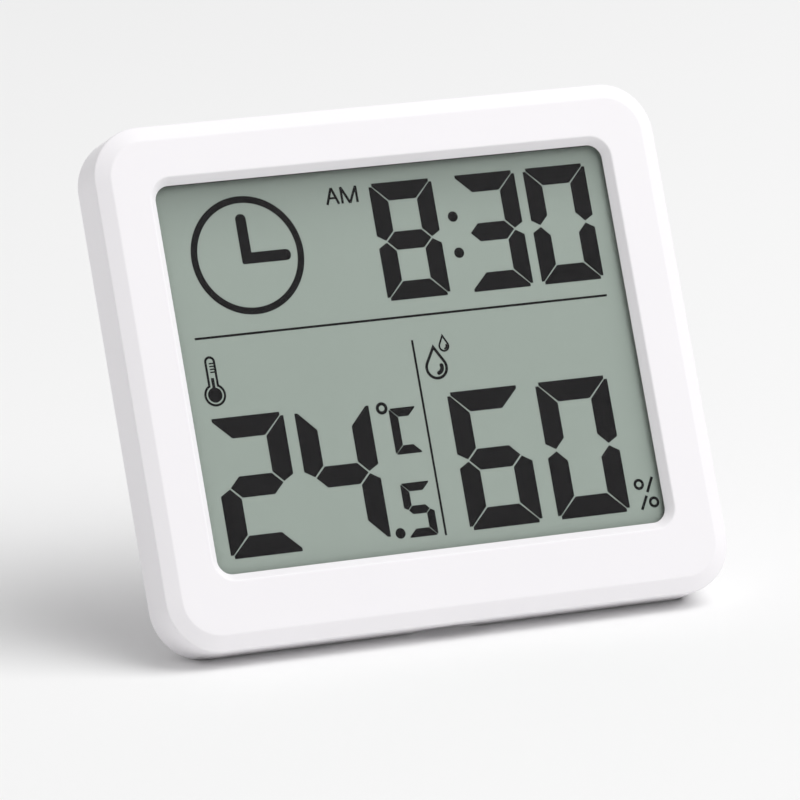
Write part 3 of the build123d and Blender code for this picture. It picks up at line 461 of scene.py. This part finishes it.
# Front shell: one wall that runs from the window round to the inside, with softened edges
shell = {
    "cornerRadius": 7.0 * mm,
    "cornerSteps": 20,
    "bevelAcross": 2.05 * mm,
    "bevelDeep": 0.8 * mm,
    "faceThick": 1.2 * mm,
    "wall": 1.6 * mm,
    "depth": 7.4 * mm,
    "windowRound": 0.08 * mm,    # where the window's bevel ends at the display
    "faceRound": 0.15 * mm,      # both edges of the flat face
    "sideRound": 0.20 * mm,
    "rearRound": 0.25 * mm,
    "roundSteps": 3,
    "stackStep": 20.0 * mm,      # the loops are bridged in a loose stack, then each goes to its depth
}
scoop = {"across": 10.8 * mm, "along": 4.0 * mm, "deep": 1.0 * mm, "behind": 5.4 * mm,
         "arcSteps": 48, "turnSteps": 64}
bosses = {"radius": 1.7 * mm, "hole": 0.72 * mm, "holeFront": 3.9 * mm, "back": 6.0 * mm,
          "fromSide": 4.4 * mm, "fromEnd": 10.5 * mm}
ribs = {"thick": 1.0 * mm, "long": 5.0 * mm, "deep": 2.6 * mm, "gap": 0.15 * mm, "aside": 20.0 * mm}


def caseLoop(bm, inset, level):
    return roundedLoop(bm, caseWidth - 2 * inset, caseHeight - 2 * inset, shell["cornerRadius"] - inset,
                       caseHeight / 2, level, shell["cornerSteps"])


def windowLoop(bm, margin, level):
    return roundedLoop(bm, window["width"] + 2 * margin, window["height"] + 2 * margin,
                       window["radius"] + margin, windowMiddle, level, shell["cornerSteps"])


def shellWall():
    bm = bmesh.new()
    s = shell
    outline = [                                      # loop, inset or margin, depth, rounding of its edge
        (windowLoop, 0, s["faceThick"], 0),
        (windowLoop, 0, window["bevelDeep"], s["windowRound"]),
        (windowLoop, window["bevelAcross"], 0, s["faceRound"]),
        (caseLoop, s["bevelAcross"], 0, s["faceRound"]),
        (caseLoop, 0, s["bevelDeep"], s["sideRound"]),
        (caseLoop, 0, s["depth"], s["rearRound"]),
        (caseLoop, s["wall"], s["depth"], 0),
        (caseLoop, s["wall"], s["faceThick"], 0),
    ]
    levels = [-index * s["stackStep"] for index in range(len(outline))]
    loops = [make(bm, offset, level) for (make, offset, depth, rounding), level in zip(outline, levels)]
    bands = [bmesh.ops.bridge_loops(bm, edges=first + second)["faces"]
             for first, second in zip(loops, loops[1:] + loops[:1])]
    for loop, level, (make, offset, depth, rounding) in zip(loops, levels, outline):
        rim = list({vert for edge in loop for vert in edge.verts})
        bmesh.ops.translate(bm, vec=(0, 0, -depth - level), verts=rim)
    for face in bands[0]:
        face.material_index = 1                      # painted shade: the window's inner wall is coloured dark as the shadow line around the display
    for loop, (make, offset, depth, rounding) in zip(loops, outline):
        if rounding:
            roundEdges(bm, loop, rounding, s["roundSteps"])
    bmesh.ops.recalc_face_normals(bm, faces=bm.faces)
    bmesh.ops.transform(bm, matrix=caseFrame, verts=bm.verts)
    # the lower rear edge is flat where the case stands
    cut = bmesh.ops.bisect_plane(bm, geom=bm.verts[:] + bm.edges[:] + bm.faces[:], plane_co=(0, 0, 0),
                                 plane_no=(0, 0, -1), clear_outer=True)["geom_cut"]
    bmesh.ops.edgeloop_fill(bm, edges=[part for part in cut if isinstance(part, bmesh.types.BMEdge)])
    return bm


def bossPoints():
    x = caseWidth / 2 - bosses["fromSide"]
    low, high = bosses["fromEnd"], caseHeight - bosses["fromEnd"]
    return [(side * x, y) for side in (-1, 1) for y in (low, high)]


def innerFittings():  # screw bosses, and ribs that hold the display in place
    bm = bmesh.new()
    root = shell["faceThick"] / 2
    for at in bossPoints():
        post(bm, at, bosses["radius"], root, bosses["back"])
    ribBack = shell["faceThick"] + ribs["deep"]
    standOff = ribs["gap"] + ribs["thick"] / 2
    left, right = extent("lcd_front_glass", across)
    low, high = extent("lcd_front_glass", upward)
    for x in (-ribs["aside"], ribs["aside"]):
        for y in (low - standOff, high + standOff):
            block(bm, (x, y), (ribs["long"], ribs["thick"]), root, ribBack)
    for x in (left - standOff, right + standOff):
        block(bm, (x, windowMiddle), (ribs["thick"], ribs["long"]), root, ribBack)
    return bm


def shellHollows():  # finger scoop in the bottom wall, and holes for the cover's screws
    half = scoop["along"] / 2
    middleRadius = (half ** 2 / scoop["deep"] + scoop["deep"]) / 2
    axisHeight = scoop["deep"] - middleRadius
    arcRadius = ((scoop["across"] / 2) ** 2 + scoop["deep"] ** 2) / (2 * scoop["deep"])
    halfChord = sqrt(2 * arcRadius * middleRadius - middleRadius ** 2)
    bm = bmesh.new()
    tip = bm.verts.new((-halfChord, axisHeight, 0))
    bmesh.ops.spin(bm, geom=[tip], cent=(0, scoop["deep"] - arcRadius, 0), axis=(0, 0, -1),
                   angle=2 * asin(halfChord / arcRadius), steps=scoop["arcSteps"])
    bmesh.ops.spin(bm, geom=bm.verts[:] + bm.edges[:], cent=(0, axisHeight, 0), axis=(1, 0, 0),
                   angle=2 * pi, steps=scoop["turnSteps"], use_merge=True)
    bmesh.ops.remove_doubles(bm, verts=bm.verts, dist=mergeWithin)
    bmesh.ops.translate(bm, vec=(0, 0, -scoop["behind"]), verts=bm.verts)
    for at in bossPoints():
        post(bm, at, bosses["hole"], bosses["holeFront"], 2 * bosses["back"] - bosses["holeFront"])
    return bm


shellPiece = asPiece(shellWall(), "front_shell_moulding", "case", "white_plastic",
                     plastic["shell_plastic"], plastic["window_wall_painted_shade"])
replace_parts(shellPiece, "front_shell")
combine(shellPiece, innerFittings(), "UNION")
combine(shellPiece, shellHollows(), "DIFFERENCE")
print("front shell,", len(shellPiece.data.polygons), "faces")


# Clear sheets of the display, with a hair of air between them and their neighbours
sheets = {"air": 0.012 * mm, "cornerRadius": 0.4 * mm, "cornerSteps": 6,
          "edgeRound": 0.03 * mm, "roundSteps": 2}
inkFilm = {"thick": 0.015 * mm, "air": 0.003 * mm}   # air between the film and the rear glass


def clearLayer(node, name, slot, material):
    bm = bmesh.new()
    left, right = extent(node, across)
    low, high = extent(node, upward)
    back, front = extent(node, outward)
    loops = [roundedLoop(bm, right - left, high - low, sheets["cornerRadius"], (low + high) / 2, level,
                         sheets["cornerSteps"])
             for level in (front - sheets["air"], back + sheets["air"])]
    bmesh.ops.bridge_loops(bm, edges=loops[0] + loops[1])
    for loop in loops:
        bmesh.ops.edgeloop_fill(bm, edges=loop)
    roundEdges(bm, loops[0] + loops[1], sheets["edgeRound"], sheets["roundSteps"])
    bmesh.ops.recalc_face_normals(bm, faces=bm.faces)
    bmesh.ops.transform(bm, matrix=caseFrame, verts=bm.verts)
    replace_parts(asPiece(bm, name, "case", slot, material), node)


def flatInk():  # the segments as a thin dark film on the rear glass, so that their gaps stay light
    bm = bmesh.new()
    bm.from_mesh(nodes["lcd_segments"].data)
    bmesh.ops.remove_doubles(bm, verts=bm.verts, dist=mergeWithin)
    bmesh.ops.transform(bm, matrix=caseFrame.inverted(), verts=bm.verts)
    back, front = extent("lcd_segments", outward)
    bmesh.ops.translate(bm, vec=(0, 0, -back), verts=bm.verts)
    bmesh.ops.scale(bm, vec=(1, 1, inkFilm["thick"] / (front - back)), verts=bm.verts)
    bmesh.ops.translate(bm, vec=(0, 0, back + inkFilm["air"]), verts=bm.verts)
    bmesh.ops.transform(bm, matrix=caseFrame, verts=bm.verts)
    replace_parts(asPiece(bm, "display_ink", "case", "lcd_segments", inkFinish), "lcd_segments")


flatInk()
clearLayer("lcd_front_polariser", "polariser_sheet", "polariser_film", clear["polariser_film"])
clearLayer("lcd_front_glass", "front_glass_sheet", "lcd_glass", clear["display_glass"])
print("display sheets made")


# Pieces on the back keep their shape and get softened rims
rims = {                         # body, slot, rounding, how far from the rear face it reaches
    "back_cover": ("case", "white_plastic", 0.14 * mm, 0.4 * mm),
    "battery_door": ("battery_door", "white_plastic", 0.18 * mm, 0.4 * mm),
    "stand_leg": ("stand", "white_plastic", 0.16 * mm, 100 * mm),
    "cover_screws": ("case", "screw_steel", 0.06 * mm, 0.3 * mm),
}
rimAngles = {"flatWithin": 0.5, "rimFrom": 32}       # degrees between the faces at an edge
rimSteps = 3


def softenedRims(node, body, slot, rounding, band):
    bm = bmesh.new()
    bm.from_mesh(nodes[node].data)
    bmesh.ops.remove_doubles(bm, verts=bm.verts, dist=mergeWithin)
    flat, steep = radians(rimAngles["flatWithin"]), radians(rimAngles["rimFrom"])
    bmesh.ops.dissolve_limit(bm, angle_limit=flat, verts=bm.verts, edges=bm.edges)
    rear = reach(node, -outward)
    edges = [edge for edge in bm.edges if edge.is_convex and edge.calc_face_angle() > steep
             and all(rear + vert.co.dot(outward) < band for vert in edge.verts)]
    roundEdges(bm, edges, rounding, rimSteps)
    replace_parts(asPiece(bm, node + "_moulding", body, slot, slotFinish[slot]), node)


for rimNode, rimDetails in rims.items():
    softenedRims(rimNode, *rimDetails)
print("rims softened,", len(rims), "pieces")


# Raised signs on the back: button signs, and marks that show how the battery door turns
signs = {
    "height": 0.16 * mm,
    "sunk": 0.05 * mm,
    "edgeRound": 0.05 * mm,
    "roundSteps": 2,
    "buttonRadius": 1.15 * mm,
    "ringWidth": 0.42 * mm,
    "ringSteps": 48,
    "cornerShare": 0.22,         # rounding of a triangle's corners, of its radius
    "cornerSteps": 4,
    "markRadius": 13.9 * mm,
    "dotRadius": 0.55 * mm,
    "openRing": 1.25,            # radius and width of the open mark's ring, of the dot's radius
    "openRingWidth": 0.5,
    "doorDotAt": 10.7 * mm,
    "arrowWidth": 0.5 * mm,
    "arrowHead": 0.95 * mm,
    "arrowGap": 6.0,             # degrees between a mark and the arrow
    "headGap": 1.6,              # between the open mark and the arrow's head, in such gaps
    "arrowSteps": 16,
    "closedAngle": 90.0,         # where the door's dot stands when it is shut
}


def disc(bm, at, radius, steps=32, pointing=90.0):  # a corner lies in the pointing direction
    made = bmesh.ops.create_circle(bm, cap_ends=True, segments=steps, radius=radius)["verts"]
    turn = Matrix.Rotation(radians(pointing - 90), 3, "Z")
    bmesh.ops.rotate(bm, cent=(0, 0, 0), matrix=turn, verts=made)
    bmesh.ops.translate(bm, vec=(*at, 0), verts=made)
    return made


def ringSign(bm, at, radius, width):
    loops = []
    for size in (radius, radius - width):
        made = bmesh.ops.create_circle(bm, cap_ends=False, segments=signs["ringSteps"],
                                       radius=size)["verts"]
        bmesh.ops.translate(bm, vec=(*at, 0), verts=made)
        loops += {edge for vert in made for edge in vert.link_edges}
    bmesh.ops.bridge_loops(bm, edges=loops)


def triangleSign(bm, at, radius, pointing):
    corners = disc(bm, at, radius, 3, pointing)
    roundCorners(bm, corners, signs["cornerShare"] * radius, signs["cornerSteps"])


def raised(bm, name, body, slot, rear):  # flat shapes become low relief on the rear face
    top = bmesh.ops.extrude_face_region(bm, geom=bm.faces[:])["geom"]
    topVerts = [part for part in top if isinstance(part, bmesh.types.BMVert)]
    bmesh.ops.translate(bm, vec=(0, 0, -signs["height"] - signs["sunk"]), verts=topVerts)
    topFaces = {part for part in top if isinstance(part, bmesh.types.BMFace)}
    rim = [edge for edge in bm.edges if len(topFaces.intersection(edge.link_faces)) == 1]
    roundEdges(bm, rim, signs["edgeRound"], signs["roundSteps"])
    bmesh.ops.recalc_face_normals(bm, faces=bm.faces)
    bmesh.ops.translate(bm, vec=(0, 0, rear + signs["sunk"]), verts=bm.verts)
    bmesh.ops.transform(bm, matrix=caseFrame, verts=bm.verts)
    asPiece(bm, name, body, slot, plastic["sign_ink"])


def middleOf(node):
    return sum(extent(node, across)) / 2, sum(extent(node, upward)) / 2


def buttonSign(button):
    bm = bmesh.new()
    at = middleOf(button)
    if button == "mode_button":
        ringSign(bm, at, signs["buttonRadius"], signs["ringWidth"])
    else:
        triangleSign(bm, at, signs["buttonRadius"], 90 if button == "up_button" else -90)
    raised(bm, button + "_sign", button, "button_plastic", extent(button, outward)[0])


def onRay(at, radius, angle):
    return at[0] + radius * cos(radians(angle)), at[1] + radius * sin(radians(angle))


def doorMarks():
    hub = middleOf("coin_cell")                      # the door turns about the middle of the cell
    shut = signs["closedAngle"]
    free = shut - joints["door_turn"]["range_deg"][1]    # it turns clockwise, seen from the front
    bm = bmesh.new()
    disc(bm, onRay(hub, signs["markRadius"], shut), signs["dotRadius"])
    ringSign(bm, onRay(hub, signs["markRadius"], free), signs["openRing"] * signs["dotRadius"],
             signs["openRingWidth"] * signs["dotRadius"])

    # arrow from the shut mark towards the open one: an arc, then a triangle as its head
    start = shut - signs["arrowGap"]
    end = free + signs["headGap"] * signs["arrowGap"]
    tail = [bm.verts.new((*onRay(hub, signs["markRadius"] + side * signs["arrowWidth"] / 2, start), 0))
            for side in (-1, 1)]
    bmesh.ops.spin(bm, geom=[*tail, bm.edges.new(tail)], cent=(*hub, 0), axis=(0, 0, -1),
                   angle=radians(start - end), steps=signs["arrowSteps"])
    pointing = end - 90
    tip = onRay(onRay(hub, signs["markRadius"], end), signs["arrowHead"] / 2, pointing)
    disc(bm, tip, signs["arrowHead"], 3, pointing)
    raised(bm, "door_turn_marks", "case", "white_plastic", extent("back_cover", outward)[0])

    bm = bmesh.new()
    disc(bm, onRay(hub, signs["doorDotAt"], shut), signs["dotRadius"])
    raised(bm, "door_dot", "battery_door", "white_plastic", extent("battery_door", outward)[0])


for buttonNode in ("mode_button", "up_button", "down_button"):
    buttonSign(buttonNode)
doorMarks()
print("signs raised on the back")


# Studio: white floor, a large soft key from the upper right, a low fill from the left, an even surround
studio = {
    "floorSize": 6.0,
    "floorDrop": 0.01 * mm,
    "floorSeen": (0.89, 0.89, 0.89),
    "floorShade": (0.8811, 0.8811, 0.8811),
    "floorCloudScale": 9,
    "floorBounce": (0.94, 0.94, 0.94),
    "floorRoughness": 0.9,
    "surround": 0.465,
    "key": {"azimuth": 57, "elevation": 57, "away": 2.0, "size": 1.8, "watts": 34.3},
    "fill": {"azimuth": -110, "elevation": 14, "away": 0.9, "size": 0.5, "watts": 0.5},
}
aimPoint = caseFrame @ Vector((0, caseHeight / 2, 0))


def studioFloor():
    finish = Finish("studio_floor", Roughness=studio["floorRoughness"], **{"Specular IOR Level": 0.0})
    paper = finish.mix(finish.noise(studio["floorCloudScale"]), studio["floorSeen"], studio["floorShade"])
    finish.set({"Base Color": finish.mix(finish.seenRays(), studio["floorBounce"], paper)})
    bm = bmesh.new()
    made = bmesh.ops.create_grid(bm, x_segments=1, y_segments=1, size=studio["floorSize"] / 2)
    bmesh.ops.translate(bm, vec=(0, 0, -studio["floorDrop"]), verts=made["verts"])
    mesh = bpy.data.meshes.new("studio_floor")
    bm.to_mesh(mesh)
    bm.free()
    mesh.materials.append(finish.material)
    floor = bpy.data.objects.new("studio_floor", mesh)
    bpy.context.scene.collection.objects.link(floor)


def studioLamp(name, azimuth, elevation, away, size, watts):
    lamp = bpy.data.lights.new(name, "AREA")
    lamp.size = size
    lamp.energy = watts
    holder = bpy.data.objects.new(name, lamp)
    side, lift = radians(azimuth), radians(elevation)
    towards = Vector((sin(side) * cos(lift), -cos(side) * cos(lift), sin(lift)))
    holder.location = aimPoint + away * towards
    holder.rotation_euler = towards.to_track_quat("Z", "Y").to_euler()
    bpy.context.scene.collection.objects.link(holder)


def studioSurround():
    world = bpy.data.worlds.new("studio_surround")
    graph = Graph(world)
    white = (1, 1, 1, 1)
    lit, seen = [graph.add("ShaderNodeBackground", {}, {"Color": white, "Strength": strength})
                 for strength in (studio["surround"], 1.0)]
    choice = graph.add("ShaderNodeMixShader", {}, {0: graph.seenRays(), 1: lit, 2: seen})
    graph.add("ShaderNodeOutputWorld", {}, {"Surface": choice})
    bpy.context.scene.world = world


studioFloor()
for lampName in ("key", "fill"):
    studioLamp(lampName, **studio[lampName])
studioSurround()
print("studio ready")


# Camera: long lens, from the left and a little above
camera = {
    "lens": 298.15,
    "sensor": 36.0,
    "elevation": radians(14.63),
    "azimuth": radians(24.01),
    "distance": 864.3 * mm,
    "aside": 2.079 * mm,         # middle of the window, right of and above the middle of the picture
    "above": 5.957 * mm,
    "nearest": 0.01,
    "farthest": 50.0,
}


def photoCamera():
    data = bpy.data.cameras.new("camera")
    data.lens = camera["lens"]
    data.sensor_width = camera["sensor"]
    data.clip_start = camera["nearest"]
    data.clip_end = camera["farthest"]
    holder = bpy.data.objects.new("camera", data)
    tilt = Matrix.Rotation(pi / 2 - camera["elevation"], 4, "X")
    turn = Matrix.Rotation(-camera["azimuth"], 4, "Z") @ tilt
    middle = caseFrame @ Vector((0, windowMiddle, 0))
    back = turn @ Vector((-camera["aside"], -camera["above"], camera["distance"]))
    holder.matrix_world = Matrix.Translation(middle + back) @ turn
    bpy.context.scene.collection.objects.link(holder)
    bpy.context.scene.camera = holder


photoCamera()
bpy.context.scene.view_settings.view_transform = "Standard"
print("camera set")
